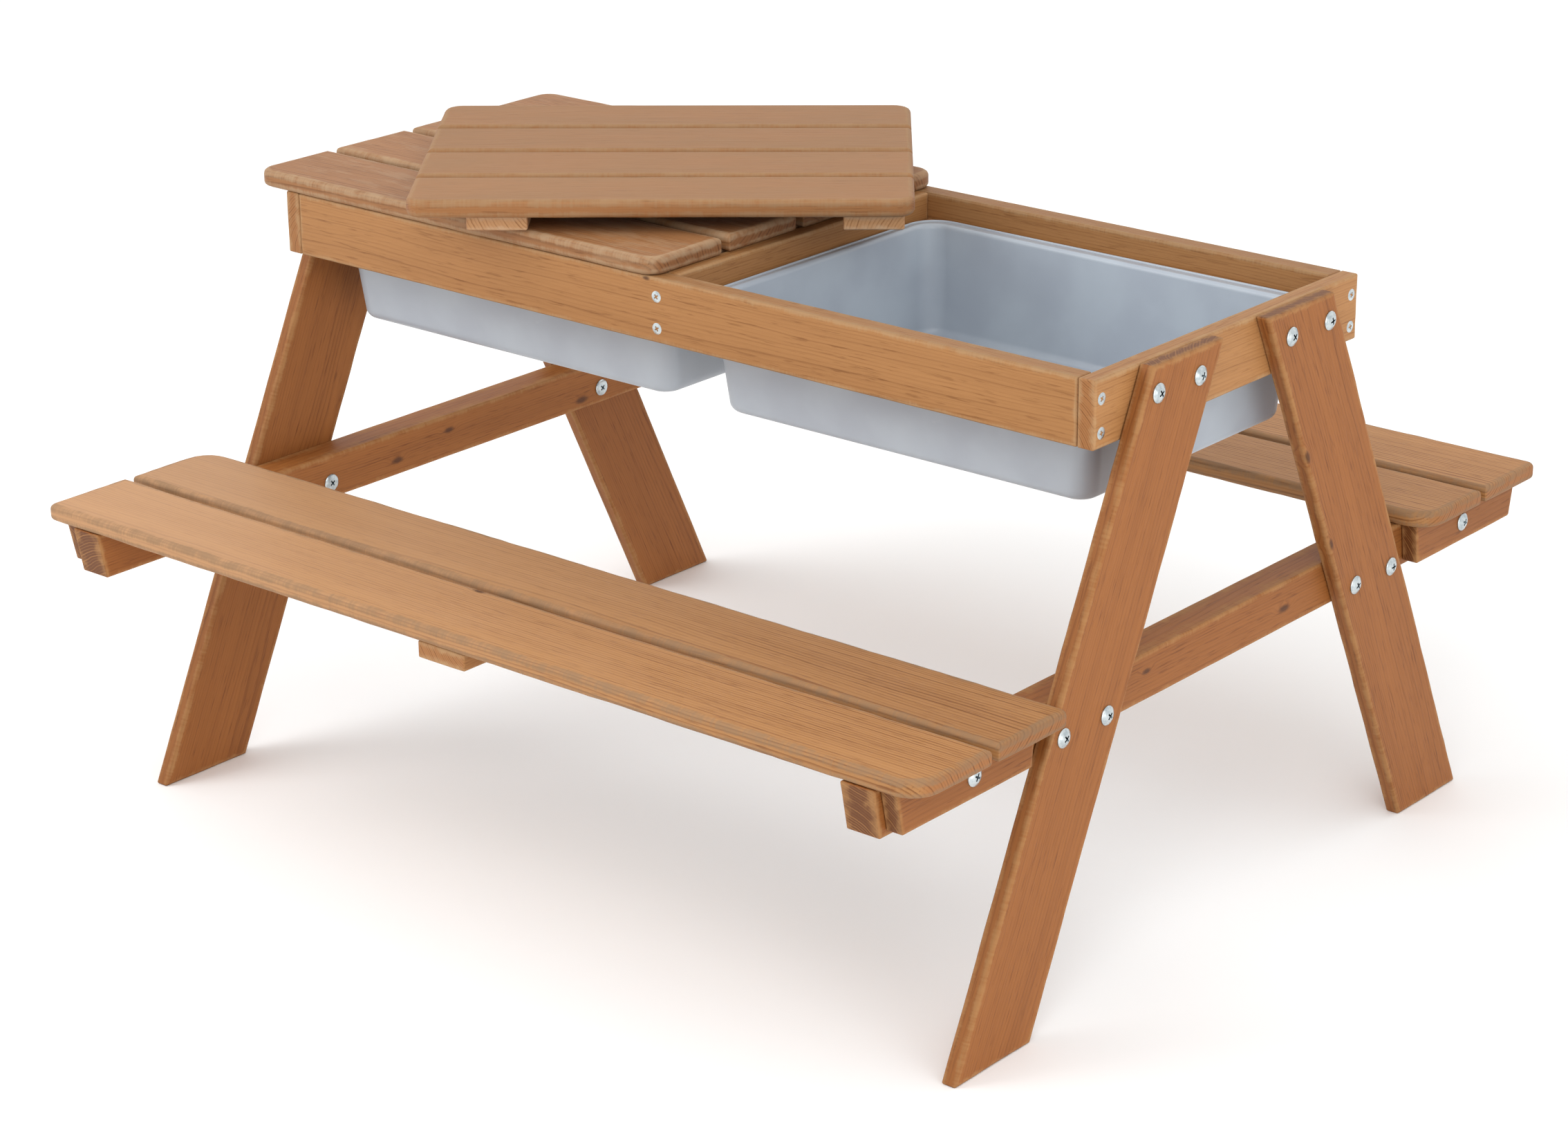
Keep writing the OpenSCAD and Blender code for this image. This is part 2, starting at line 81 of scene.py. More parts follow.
SLAT_EDGE = 4 * MM
FRAME_EDGE = 1.6 * MM
LEG_EDGE = 2.2 * MM
BENCH_CORNER = 24 * MM
TIGHT_CORNER = 7 * MM
LID_CORNER = 15 * MM
PLAIN_CORNER = 1.5 * MM


def outline_points(corners, inset):
    """Points and outward directions of a convex outline whose edges are moved in by inset.

    corners are (x, y, radius), anticlockwise; the straight spans are divided evenly."""
    arcs = []
    spans = []
    for i, (x, y, radius) in enumerate(corners):
        here = Vector((x, y))
        along_0 = (here - Vector(corners[i - 1][:2])).normalized()
        reach = Vector(corners[(i + 1) % len(corners)][:2]) - here
        along_1 = reach.normalized()
        inward_0 = Vector((-along_0.y, along_0.x))
        inward_1 = Vector((-along_1.y, along_1.x))
        mitre = (inward_0 + inward_1) / (1 + inward_0.dot(inward_1))
        small = max(radius - inset, SHARP)
        centre = here + mitre * (inset + small)
        start = math.atan2(-inward_0.y, -inward_0.x)
        turn = math.atan2(along_0.cross(along_1), along_0.dot(along_1))
        angles = [start + turn * k / ARC_STEPS for k in range(ARC_STEPS + 1)]
        ways = [Vector((math.cos(a), math.sin(a))) for a in angles]
        arcs.append([(centre + small * way, way) for way in ways])
        spans.append(max(2, round(reach.length / SPAN)))
    points = []
    for i, arc in enumerate(arcs):
        points += arc
        start, way = arc[-1]
        end = arcs[(i + 1) % len(arcs)][0][0]
        points += [(start.lerp(end, k / spans[i]), way) for k in range(1, spans[i])]
    return points


def edge_profile(thickness, edge):
    """Rings of a board from its underside to its top: (inset, height, wear, outward share)."""
    half = thickness / 2
    lower = [(edge + WORN_BAND, -half, 0.0, 0.0), (edge + WORN_BAND / 3, -half, 0.6, 0.0)]
    for k in range(EDGE_STEPS + 1):
        angle = math.pi / 2 * (1 - k / EDGE_STEPS)
        inset = edge * (1 - math.cos(angle))
        height = -half + edge * (1 - math.sin(angle))
        lower.append((inset, height, 1.0, math.cos(angle)))
    upper = [(inset, -height, wear, out) for inset, height, wear, out in reversed(lower)]
    return lower + [(0.0, 0.0, SIDE_WEAR, 1.0)] + upper


def rub_depth(place, seed, out):
    """How far a rounded edge is rubbed away at a place; it is deepest halfway round."""
    coarse = noise.noise(place * WEAR_SCALE + seed)
    fine = noise.noise(place * 4 * WEAR_SCALE + seed)
    rub = coarse + 0.5 * fine
    return WEAR_DEPTH * min(1.0, max(0.0, WEAR_START + rub)) * 4 * out * (1 - out)


def close_rings(bm, rings):
    """Joins rings of vertices into a closed skin, from the first ring to the last."""
    for lower, upper in zip(rings, rings[1:]):
        for i in range(len(lower)):
            bm.faces.new((lower[i - 1], lower[i], upper[i], upper[i - 1]))
    bm.faces.new(list(reversed(rings[0])))
    bm.faces.new(rings[-1])


def board_mesh(name, corners, thickness, edge, grain_way, tone, side_tone):
    """Board in its own place: the outline lies in XY and the thickness along Z.

    The mesh carries two attributes. "grain" is the place in the trunk, X along the grain
    and the pith on the X axis. "look" is (edge wear, end grain, brightness)."""
    chance = random.Random(name)
    angle = math.radians(chance.uniform(*PITH_ANGLES)) * chance.choice((-1, 1))
    pith = chance.uniform(*PITH_DISTANCES)
    trunk = Vector((chance.uniform(0, TRUNK_SPREAD), pith * math.cos(angle), pith * math.sin(angle)))
    seed = Vector([chance.uniform(0, SEED_SPREAD) for _ in range(3)])
    way = Vector(grain_way).normalized()
    across = Vector((-way.y, way.x))
    bm = bmesh.new()
    rings = []
    grains = []
    looks = []
    for inset, height, wear, out in edge_profile(thickness, edge):
        ring = []
        for point, outward in outline_points(corners, inset):
            place = Vector((point.x, point.y, height))
            depth = rub_depth(place, seed, out) if wear == 1 else 0
            up = math.copysign(math.sqrt(max(0.0, 1 - out * out)), height)
            place -= depth * Vector((outward.x * out, outward.y * out, up))
            ring.append(bm.verts.new(place))
            grains.append(Vector((point.dot(way), point.dot(across), height)) + trunk)
            looks.append((wear, abs(outward.dot(way)) ** 2 * out, tone * (1 + (side_tone - 1) * out)))
        rings.append(ring)
    close_rings(bm, rings)
    mesh = bpy.data.meshes.new(name)
    bm.to_mesh(mesh)
    bm.free()
    for attribute, values in (("grain", grains), ("look", looks)):
        made = mesh.attributes.new(attribute, "FLOAT_VECTOR", "POINT")
        made.data.foreach_set("vector", [number for value in values for number in value])
    mesh.shade_smooth()
    return mesh


def place_piece(mesh, material, node, matrix):
    """Puts a mesh in the scene in place of its CAD node, riding on the node's body."""
    piece = bpy.data.objects.new(mesh.name, mesh)
    bpy.context.scene.collection.objects.link(piece)
    piece.matrix_world = matrix
    mesh.materials.append(material)
    body = next(b for b, nodes in frame["record"]["behaviour"]["bodies"].items() if node in nodes)
    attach(piece, body)
    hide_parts(node)
    return piece


def board(node, slot, corners, thickness, centre, length_way, width_way,
          edge=FRAME_EDGE, grain_way=(1, 0), side_tone=1.0, material=None):
    """Board for a CAD node; its outline's X and Y run along length_way and width_way."""
    tone = 1 + random.Random(node + " tone").uniform(-TONE_SPREAD, TONE_SPREAD)
    mesh = board_mesh(node + ".board", corners, thickness, edge, grain_way, tone, side_tone)
    normal = length_way.cross(width_way)
    matrix = Matrix((length_way, width_way, normal)).transposed().to_4x4()
    matrix.translation = centre
    piece = place_piece(mesh, material or WOODS[slot], node, matrix)
    weighted = piece.modifiers.new("flat faces", "WEIGHTED_NORMAL")
    weighted.weight = FLAT_WEIGHT


def middle(node):
    """Middle of a CAD node's box."""
    low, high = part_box(node)
    return (low + high) / 2


def size(node):
    """Size of a CAD node's box."""
    low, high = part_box(node)
    return high - low


def extent_along(node, way):
    """Lowest and highest reach of a CAD node along a direction."""
    reaches = [v.co.dot(way) for v in frame["nodes"][node].data.vertices]
    return min(reaches), max(reaches)


def turned_box(node, length_way, width_way):
    """Size and middle of a CAD node in the frame of two level directions."""
    ways = (length_way, width_way, Z)
    spans = [extent_along(node, way) for way in ways]
    centre = sum(((low + high) / 2 * way for (low, high), way in zip(spans, ways)), Vector())
    return [high - low for low, high in spans], centre


def rectangle(length, width, radii=(PLAIN_CORNER,) * 4):
    """Outline corners of a rectangle, anticlockwise from its corner at low X and low Y."""
    x = length / 2
    y = width / 2
    return [(-x, -y, radii[0]), (x, -y, radii[1]), (x, y, radii[2]), (-x, y, radii[3])]


def straight_board(node, slot, length_way, width_way, **looks):
    """Rectangular board that lies square to the frame's axes."""
    extent = size(node)
    across = length_way.cross(width_way)
    length, width, thickness = (abs(extent.dot(way)) for way in (length_way, width_way, across))
    radii = looks.pop("radii", (PLAIN_CORNER,) * 4)
    board(node, slot, rectangle(length, width, radii), thickness, middle(node),
          length_way, width_way, **looks)


def side_span(node, height):
    """Lowest and highest Y of a CAD node's corners at one height."""
    ys = [v.co.y for v in frame["nodes"][node].data.vertices if abs(v.co.z - height) < LEVEL]
    return min(ys), max(ys)


def slanted_board(node, slot, **looks):
    """Board across the table whose outline is a trapezoid or a parallelogram in YZ."""
    low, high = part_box(node)
    centre = (low + high) / 2
    foot = side_span(node, low.z)
    head = side_span(node, high.z)
    bottom = low.z - centre.z
    corners = [(foot[0], bottom), (foot[1], bottom), (head[1], -bottom), (head[0], -bottom)]
    corners = [(y - centre.y, z, PLAIN_CORNER) for y, z in corners]
    board(node, slot, corners, high.x - low.x, centre, Y, Z, **looks)


# ---- shader nodes ----


class Graph:
    """Short ways to make and join the nodes of one material."""

    def __init__(self, name):
        self.material = bpy.data.materials.new(name)
        self.material.use_nodes = True
        self.tree = self.material.node_tree
        self.shader = self.tree.nodes["Principled BSDF"]

    def node(self, kind, inputs, **settings):
        made = self.tree.nodes.new("ShaderNode" + kind)
        for key, value in settings.items():
            setattr(made, key, value)
        for key, value in inputs.items():
            self.feed(made.inputs[key], value)
        return made

    def feed(self, socket, value):
        if isinstance(value, bpy.types.NodeSocket):
            self.tree.links.new(value, socket)
        else:
            socket.default_value = value

    def math(self, operation, a, b=0.0):
        return self.node("Math", {0: a, 1: b}, operation=operation).outputs[0]

    def add(self, *terms):
        total = terms[0]
        for term in terms[1:]:
            total = self.math("ADD", total, term)
        return total

    def minus(self, a, b):
        return self.math("SUBTRACT", a, b)

    def times(self, a, b):
        return self.math("MULTIPLY", a, b)

    def swing(self, pattern, share):
        """A noise pattern moved to lie round zero, times a share."""
        return self.times(self.minus(pattern, 0.5), share)

    def length(self, vector):
        return self.node("VectorMath", {0: vector}, operation="LENGTH").outputs["Value"]

    def place(self, output="Object"):
        return self.node("TexCoord", {}).outputs[output]

    def stretched(self, vector, scale):
        return self.node("VectorMath", {0: vector, 1: scale}, operation="MULTIPLY").outputs[0]

    def noise(self, vector, scale=1.0, detail=3.0, roughness=0.5):
        inputs = {"Vector": vector, "Scale": scale, "Detail": detail, "Roughness": roughness}
        return self.node("TexNoise", inputs).outputs["Fac"]

    def step(self, value, low, high, to_low=0.0, to_high=1.0):
        inputs = {"Value": value, "From Min": low, "From Max": high, "To Min": to_low, "To Max": to_high}
        return self.node("MapRange", inputs, interpolation_type="SMOOTHSTEP").outputs["Result"]

    def mix(self, share, a, b, blend="MIX"):
        made = self.node("Mix", {0: share, 6: a, 7: b}, data_type="RGBA", blend_type=blend)
        return made.outputs[2]

    def split(self, vector):
        return self.node("SeparateXYZ", {0: vector}).outputs

    def attribute(self, name):
        return self.node("Attribute", {}, attribute_name=name).outputs["Vector"]

    def bump(self, height, strength, distance):
        made = self.node("Bump", {"Strength": strength, "Distance": distance, "Height": height})
        self.feed(self.shader.inputs["Normal"], made.outputs["Normal"])


def colour(red, green, blue):
    """Linear colour from 8-bit screen values."""
    parts = [part / 255 for part in (red, green, blue)]
    linear = [p / 12.92 if p <= 0.04045 else ((p + 0.055) / 1.055) ** 2.4 for p in parts]
    return (*linear, 1.0)


# how often each pattern of the wood changes, per metre along the grain, across and through
WANDER = (2.2, 14, 14)
WAVER = (14, 90, 90)
BANDS = (2.5, 55, 55)
CLOUDS = (9, 26, 26)
FIBRES = (30, 1500, 1500)
PORES = (45, 620, 620)
RUBS = (24, 95, 95)
PATCHES = (55, 130, 130)
TICKS = (520, 30, 30)
WANDER_REACH = 16 * MM  # how far the rings wander slowly
WAVER_REACH = 1.9 * MM  # and quickly
BENCH_REACH = 0.42  # half a bench, over which the painted light grows
KNOT = colour(74, 42, 24)
FILM = colour(136, 103, 66)
# painted light: the lighter colour that the bench slats get towards their left end, where the light falls
# stronger
PAINTED_LIGHT_COLOUR = colour(196, 152, 112)


def pith_distance(g, trunk):
    """Distance from the pith, with the slow wander of a real trunk."""
    _, across, through = g.split(trunk)
    wander = g.noise(g.stretched(trunk, WANDER), detail=2)
    waver = g.noise(g.stretched(trunk, WAVER), detail=3)
    radius = g.length(g.node("CombineXYZ", {1: across, 2: through}).outputs[0])
    return g.add(radius, g.times(wander, WANDER_REACH), g.times(waver, WAVER_REACH))


def bend_round_knots(g, radius, knots, lean):
    """The rings bent round the knots, and how dark each place is as part of a knot."""
    darkness = 0.0
    place = g.place()
    for x, y, reach in knots:
        from_knot = g.node("VectorMath", {0: place, 1: (x, y, 0)}, operation="SUBTRACT").outputs[0]
        from_knot = g.node("VectorRotate", {"Vector": from_knot, "Angle": -lean},
                           rotation_type="Z_AXIS").outputs[0]
        away = g.length(g.stretched(from_knot, (0.4 / reach, 1 / reach, 0)))
        ripple = g.times(g.noise(place, 300, 2), 0.35)
        away = g.add(away, g.minus(ripple, 0.17))
        radius = g.add(radius, g.step(away, 0.1, 2.6, 1.7 * reach, 0))
        darkness = g.math("MAXIMUM", darkness, g.step(away, 0.35, 1.3, 1, 0))
    return radius, darkness


def late_wood(g, radius, ring_pitch):
    """Darkness of the rings: a slow rise to the late wood of each ring, then a sharp edge."""
    count = g.math("DIVIDE", radius, ring_pitch)
    part = g.math("FRACT", count)
    late = g.times(g.step(part, 0.35, 0.88), g.step(part, 0.9, 1.0, 1, 0))
    which = g.node("CombineXYZ", {0: g.math("FLOOR", count)}).outputs[0]
    strength = g.node("TexWhiteNoise", {"Vector": which}, noise_dimensions="3D").outputs["Value"]
    return g.times(late, g.add(g.times(strength, 0.75), 0.25))


def wear_film_and_painted_light(g, face, trunk, clouds, worn, scuffs, film, painted_light):
    """Pale rubbed patches, painted light that brightens one end, and a grey film over the colour of the
    faces.
    """
    if scuffs:
        rubs = g.noise(g.stretched(trunk, RUBS), detail=6, roughness=0.72)
        patch = g.step(g.add(rubs, g.times(clouds, 0.4)), 0.68, 0.86, 0, scuffs)
        face = g.mix(patch, face, worn)
    if painted_light:
        # painted light: the face is painted lighter towards the board's left end, standing in for the
        # stronger light there
        along, _, _ = g.split(g.place())
        lit_share = g.step(g.add(along, g.swing(clouds, 0.3)), -BENCH_REACH, BENCH_REACH, painted_light, 0)
        face = g.mix(lit_share, face, PAINTED_LIGHT_COLOUR)
    if film:
        _, _, upward = g.split(g.place("Normal"))
        thick = g.times(g.step(upward, 0.7, 0.95), g.step(clouds, 0.3, 0.7, 0.6, 1.0))
        face = g.mix(g.times(thick, film), face, FILM)
    return face


def wood(name, light, dark, worn, end, end_line, ring_pitch=1.9 * MM, ring_share=0.4, streaks=0.8,
         scuffs=0.0, film=0.0, painted_light=0.0, shine=0.25, knots=(), knot_lean=0.0):
    """Stained softwood: growth rings round the pith, fibres, rubbed edges and end grain.

    light and dark are the colours of the faces, worn that of rubbed edges and patches, and
    end and end_line those of the sawn ends. scuffs is the share of pale rubbed patches, film
    that of the grey film on top faces, and painted_light that of painted light, which brightens
    the board from its right end to its left one.
    Knots are (x, y, reach) in the board's own frame; knot_lean is the grain's angle there."""
    g = Graph(name)
    trunk = g.attribute("grain")
    edge, end_face, brightness = g.split(g.attribute("look"))
    radius = pith_distance(g, trunk)
    if knots:
        radius, knot_dark = bend_round_knots(g, radius, knots, knot_lean)
    late = late_wood(g, radius, ring_pitch)

    # streaks that run with the grain: broad bands of stain, fibres and short dark pores
    bands = g.noise(g.stretched(trunk, BANDS), detail=5, roughness=0.62)
    clouds = g.noise(g.stretched(trunk, CLOUDS), detail=3)
    fibres = g.noise(g.stretched(trunk, FIBRES), detail=3, roughness=0.65)
    pore = g.step(g.noise(g.stretched(trunk, PORES), detail=2), 0.57, 0.72)
    figure = g.add(g.times(late, ring_share), g.swing(bands, streaks), g.swing(fibres, 0.5),
                   g.times(pore, 0.42))
    face = g.mix(g.step(figure, -0.4, 1.0), light, dark)
    face = wear_film_and_painted_light(g, face, trunk, clouds, worn, scuffs, film, painted_light)

    # sawn ends: the same rings over darker, open pores
    end_rings = g.add(g.times(late, 0.9), g.times(fibres, 0.2))
    end_look = g.mix(g.step(end_rings, 0.1, 0.95), end, end_line)
    face = g.mix(g.times(g.step(end_face, 0.45, 0.95), 0.9), face, end_look)

    # rubbed edges, with the short cross ticks that the planer leaves there
    patches = g.noise(g.stretched(trunk, PATCHES), detail=3)
    ticks = g.noise(g.stretched(trunk, TICKS), detail=1)
    rub = g.add(g.times(edge, 0.8), g.swing(patches, 1.2), g.swing(ticks, 0.6))
    rub = g.times(g.step(rub, 0.35, 1.05), g.step(edge, 0.1, 0.6))
    face = g.mix(g.times(rub, 0.75), face, worn)
    if knots:
        face = g.mix(g.times(knot_dark, 0.85), face, KNOT)

    shade = g.node("CombineColor", {0: brightness, 1: brightness, 2: brightness}).outputs[0]
    g.feed(g.shader.inputs["Base Color"], g.mix(1.0, face, shade, "MULTIPLY"))
    g.shader.inputs["Specular IOR Level"].default_value = shine
    rough = g.add(g.times(fibres, 0.22), g.times(rub, 0.16), 0.42)
    g.feed(g.shader.inputs["Roughness"], rough)
    height = g.add(g.times(fibres, 0.8), g.times(late, 0.35))
    height = g.add(g.minus(height, g.times(pore, 0.5)), g.times(ticks, g.times(edge, 0.6)))
    g.bump(height, 0.4, 0.35 * MM)
    return g.material


def plastic(name):
    """Moulded grey-blue plastic: fine texture, cloudy gloss and light scuffs."""
    g = Graph(name)
    place = g.place()
    clouds = g.noise(place, 14, 3)
    grit = g.noise(place, 1900, 2)
    scuffs = g.noise(g.stretched(place, (60, 420, 120)), detail=4, roughness=0.7)
    scuff = g.step(scuffs, 0.62, 0.8)
    face = g.mix(g.step(clouds, 0.35, 0.65), colour(166, 174, 184), colour(174, 183, 192))
    face = g.mix(g.times(scuff, 0.25), face, colour(190, 196, 202))
    g.feed(g.shader.inputs["Base Color"], face)
    rough = g.add(g.times(clouds, 0.12), g.times(scuff, 0.15))
    g.feed(g.shader.inputs["Roughness"], g.add(rough, 0.3))
    g.shader.inputs["Specular IOR Level"].default_value = 0.5
    g.bump(g.add(grit, g.times(scuff, 0.5)), 0.15, 0.1 * MM)
    return g.material


def zinc(name, dark, bright):
    """Zinc plate: metal with cloudy gloss and fine scratches."""
    g = Graph(name)
    place = g.place()
    clouds = g.noise(place, 260, 3)
    scratches = g.noise(g.stretched(place, (900, 5200, 5200)), detail=2)
    face = g.mix(g.step(clouds, 0.3, 0.7), dark, bright)
    g.feed(g.shader.inputs["Base Color"], face)
    g.shader.inputs["Metallic"].default_value = 1.0
    rough = g.add(g.times(clouds, 0.22), g.times(scratches, 0.12))
    g.feed(g.shader.inputs["Roughness"], g.add(rough, 0.12))
    g.bump(scratches, 0.2, 0.04 * MM)
    return g.material


def frame_wood(name, knots=()):
    """The stained pine of the top frame."""
    return wood(name, colour(172, 123, 75), colour(128, 83, 44), colour(173, 138, 99),
                colour(156, 105, 61), colour(112, 68, 33), knots=knots)


def leg_wood(name, knots=(), knot_lean=0.0):
    """The deeper stained pine of the legs, beams and bench battens."""
    return wood(name, colour(155, 96, 46), colour(112, 62, 25), colour(168, 123, 77),
                colour(94, 54, 26), colour(148, 102, 58), ring_pitch=2.2 * MM, streaks=0.95,
                knots=knots, knot_lean=knot_lean)


def bench_wood(name, knots=()):
    """The bench slats: worn at the edges, with painted light that brightens them towards one end."""
    return wood(name, colour(181, 130, 79), colour(126, 78, 39), colour(144, 114, 85),
                colour(163, 106, 59), colour(118, 70, 34), ring_pitch=2.6 * MM, ring_share=0.85,
                painted_light=0.6, knots=knots)


WOODS = {
    "frame_wood": frame_wood("frame_wood"),
    "leg_wood": leg_wood("leg_wood"),
    "bench_wood": bench_wood("bench_wood"),
    "batten_wood": wood("batten_wood", colour(186, 138, 96), colour(138, 92, 58), colour(190, 158, 126),
                        colour(178, 134, 92), colour(140, 96, 58), ring_pitch=2.6 * MM),
}
LID_WOODS = {
    "left": wood("lid_wood_seated", colour(162, 113, 71), colour(117, 76, 44), colour(174, 145, 113),
                 colour(142, 94, 56), colour(106, 65, 36), ring_pitch=3.1 * MM, ring_share=0.55,
                 scuffs=0.3),
    "right": wood("lid_wood_parked", colour(165, 113, 68), colour(127, 82, 46), colour(160, 126, 91),
                  colour(144, 92, 54), colour(107, 64, 34), ring_share=0.3, streaks=0.5, film=0.5),
}
PLASTIC = plastic("tub_plastic")
ZINC = zinc("zinc_steel", colour(176, 186, 190), colour(208, 215, 216))
# painted shade: a darker copy of the zinc for the faces inside the cross recesses
RECESS_SHADE = zinc("zinc_recess_painted_shade", colour(72, 84, 90), colour(112, 122, 126))

# ---- top frame, legs, beams and benches ----

APRON_KNOTS = {"front": [(-0.01, 0.024, 1.6 * MM)], "back": [(-0.21, 0.01, 2.6 * MM)]}
BEAM_KNOTS = {
    "left": [(-0.027, 0.005, 2.6 * MM), (-0.09, -0.006, 3 * MM), (0.142, -0.0105, 3.5 * MM)],
    "right": [(0.0855, -0.003, 3.4 * MM), (-0.1, 0.004, 2.4 * MM)],
}
LEG_KNOTS = {
    "back_right": [(-0.0964, 0.116, 2.6 * MM), (-0.057, 0.034, 2.4 * MM)],
}

for end in ("front", "back"):
    knotty = frame_wood(f"frame_wood_{end}", APRON_KNOTS[end])
    straight_board(f"apron_{end}", "frame_wood", X, Z, side_tone=0.85, material=knotty)
    for side in ("left", "right"):
        straight_board(f"ledge_{end}_{side}", "batten_wood", X, Z)
for side in ("left", "right"):
    straight_board(f"apron_{side}", "frame_wood", Y, Z, side_tone=0.9)
    knotty = leg_wood(f"leg_wood_beam_{side}", BEAM_KNOTS[side])
    slanted_board(f"beam_{side}", "frame_wood", material=knotty)
straight_board("divider", "frame_wood", Y, Z)

# the knot in the outer slat of the front bench
KNOTTY_SLAT = bench_wood("bench_wood_knotty", [(-0.0366, 0.0363, 2.6 * MM)])
# corner radii of the front bench's slats; the back bench is the front one turned round
BENCH_RADII = {
    "outer": (TIGHT_CORNER, BENCH_CORNER, PLAIN_CORNER, PLAIN_CORNER),
    "inner": (PLAIN_CORNER, PLAIN_CORNER, TIGHT_CORNER, BENCH_CORNER),
}

for end in ("front", "back"):
    for side in ("left", "right"):
        node = f"leg_{end}_{side}"
        top = side_span(node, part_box(node)[1].z)
        foot = side_span(node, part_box(node)[0].z)
        grain_way = (top[0] - foot[0], size(node).z)
        knots = LEG_KNOTS.get(f"{end}_{side}")
        lean = math.atan2(grain_way[1], grain_way[0])
        knotty = leg_wood(f"leg_wood_{end}_{side}", knots, lean) if knots else WOODS["leg_wood"]
        slanted_board(node, "frame_wood", edge=LEG_EDGE, grain_way=grain_way, side_tone=0.85,
                      material=knotty)
        slanted_board(f"bench_{end}_batten_{side}", "frame_wood", material=WOODS["leg_wood"])
    straight_board(f"bench_{end}_cleat", "frame_wood", Y, -X)
    for row, radii in BENCH_RADII.items():
        if end == "back":
            radii = radii[2:] + radii[:2]
        node = f"bench_{end}_slat_{row}"
        material = KNOTTY_SLAT if node == "bench_front_slat_outer" else None
        straight_board(node, "bench_wood", X, Y, edge=SLAT_EDGE, radii=radii, side_tone=0.9,
                       material=material)

# ---- lids ----

LID_ROWS = (1, 2, 3, 4)
# the battens end this much above what they lie on, so that touching faces don't cross
REST_GAP = 0.05 * MM

for side in ("left", "right"):
    lid = f"lid_{side}"
    width_way = (middle(f"{lid}_slat_3") - middle(f"{lid}_slat_2")).normalized()
    length_way = width_way.cross(Z)
    for row in LID_ROWS:
        node = f"{lid}_slat_{row}"
        (length, width, thickness), centre = turned_box(node, length_way, width_way)
        front = LID_CORNER if row == 1 else PLAIN_CORNER
        back = LID_CORNER if row == 4 else PLAIN_CORNER
        board(node, "lid_wood", rectangle(length, width, (front, front, back, back)), thickness, centre,
              length_way, width_way, edge=SLAT_EDGE, side_tone=0.9, material=LID_WOODS[side])
    for place in ("outer", "inner"):
        node = f"{lid}_batten_{place}"
        (length, width, thickness), centre = turned_box(node, width_way, -length_way)
        thickness -= REST_GAP
        centre += REST_GAP / 2 * Z
        board(node, "batten_wood", rectangle(length, width), thickness, centre, width_way, -length_way)

# ---- tubs ----

RIM_WIDTH_X = 8 * MM
RIM_WIDTH_Y = 11.5 * MM
RIM_THICKNESS = 2.5 * MM
RIM_ROUND = 1.1 * MM
LIP_RADIUS = 4 * MM
TUB_WALL = 2.5 * MM
TUB_LEAN = 8 * MM
TUB_CORNER = 18 * MM
FLOOR_RADIUS = 9 * MM
CORNER_STEPS = 14
WALL_STEPS = 6
FLOOR_STEPS = 8
LIP_STEPS = 5
RIM_STEPS = 3
SAME_PLACE = 0.01 * MM  # vertices this close are merged
TUB_CREASE = math.radians(50)


def tub_ring(bm, half_x, half_y, radius, z):
    """Ring of vertices on a rounded rectangle."""
    ring = []
    for sx, sy, start in ((1, -1, -90), (1, 1, 0), (-1, 1, 90), (-1, -1, 180)):
        for k in range(CORNER_STEPS + 1):
            angle = math.radians(start + 90 * k / CORNER_STEPS)
            x = sx * (half_x - radius) + radius * math.cos(angle)
            y = sy * (half_y - radius) + radius * math.sin(angle)
            ring.append(bm.verts.new((x, y, z)))
    return ring


def quarter(steps, start, end):
    """Sines and cosines on the way from one angle to another, in degrees."""
    angles = [math.radians(start + (end - start) * k / steps) for k in range(steps + 1)]
    return [(math.sin(a), math.cos(a)) for a in angles]


def tub_profile(depth):
    """Section of a tub from the middle of its underside, out round the rim, to its floor.

    Each entry is (inset from the body's edge, z), with z 0 at the rim's top. The entries of
    the rim start with "rim" and give how far they reach past the rim's box instead."""
    inner_radius = FLOOR_RADIUS - TUB_WALL
    knee = depth - FLOOR_RADIUS
    profile = []
    for s, c in quarter(FLOOR_STEPS, 0, 90):
        profile.append((TUB_LEAN + FLOOR_RADIUS * (1 - s), -depth + FLOOR_RADIUS * (1 - c)))
    for k in range(1, WALL_STEPS):
        share = k / WALL_STEPS
        profile.append((TUB_LEAN * (1 - share), -knee + (knee - RIM_THICKNESS) * share))
    profile.append((0.0, -RIM_THICKNESS))
    profile.append(("rim", 0.0, -RIM_THICKNESS))
    for s, c in quarter(RIM_STEPS, 0, 90):
        profile.append(("rim", RIM_ROUND * (c - 1), -RIM_THICKNESS + RIM_ROUND * s))
    for s, c in quarter(RIM_STEPS, 0, 90):
        profile.append(("rim", -RIM_ROUND * s, -RIM_ROUND * (1 - c)))
    inner_top = TUB_WALL - LIP_RADIUS
    for s, c in quarter(LIP_STEPS, 0, 90):
        profile.append((inner_top + LIP_RADIUS * s, -LIP_RADIUS * (1 - c)))
    for k in range(1, WALL_STEPS):
        share = k / WALL_STEPS
        profile.append((TUB_WALL + TUB_LEAN * share, -LIP_RADIUS - (knee - LIP_RADIUS) * share))
    for s, c in quarter(FLOOR_STEPS, 90, 0):
        profile.append((TUB_WALL + TUB_LEAN + inner_radius * (1 - s), -knee - inner_radius * c))
    return profile


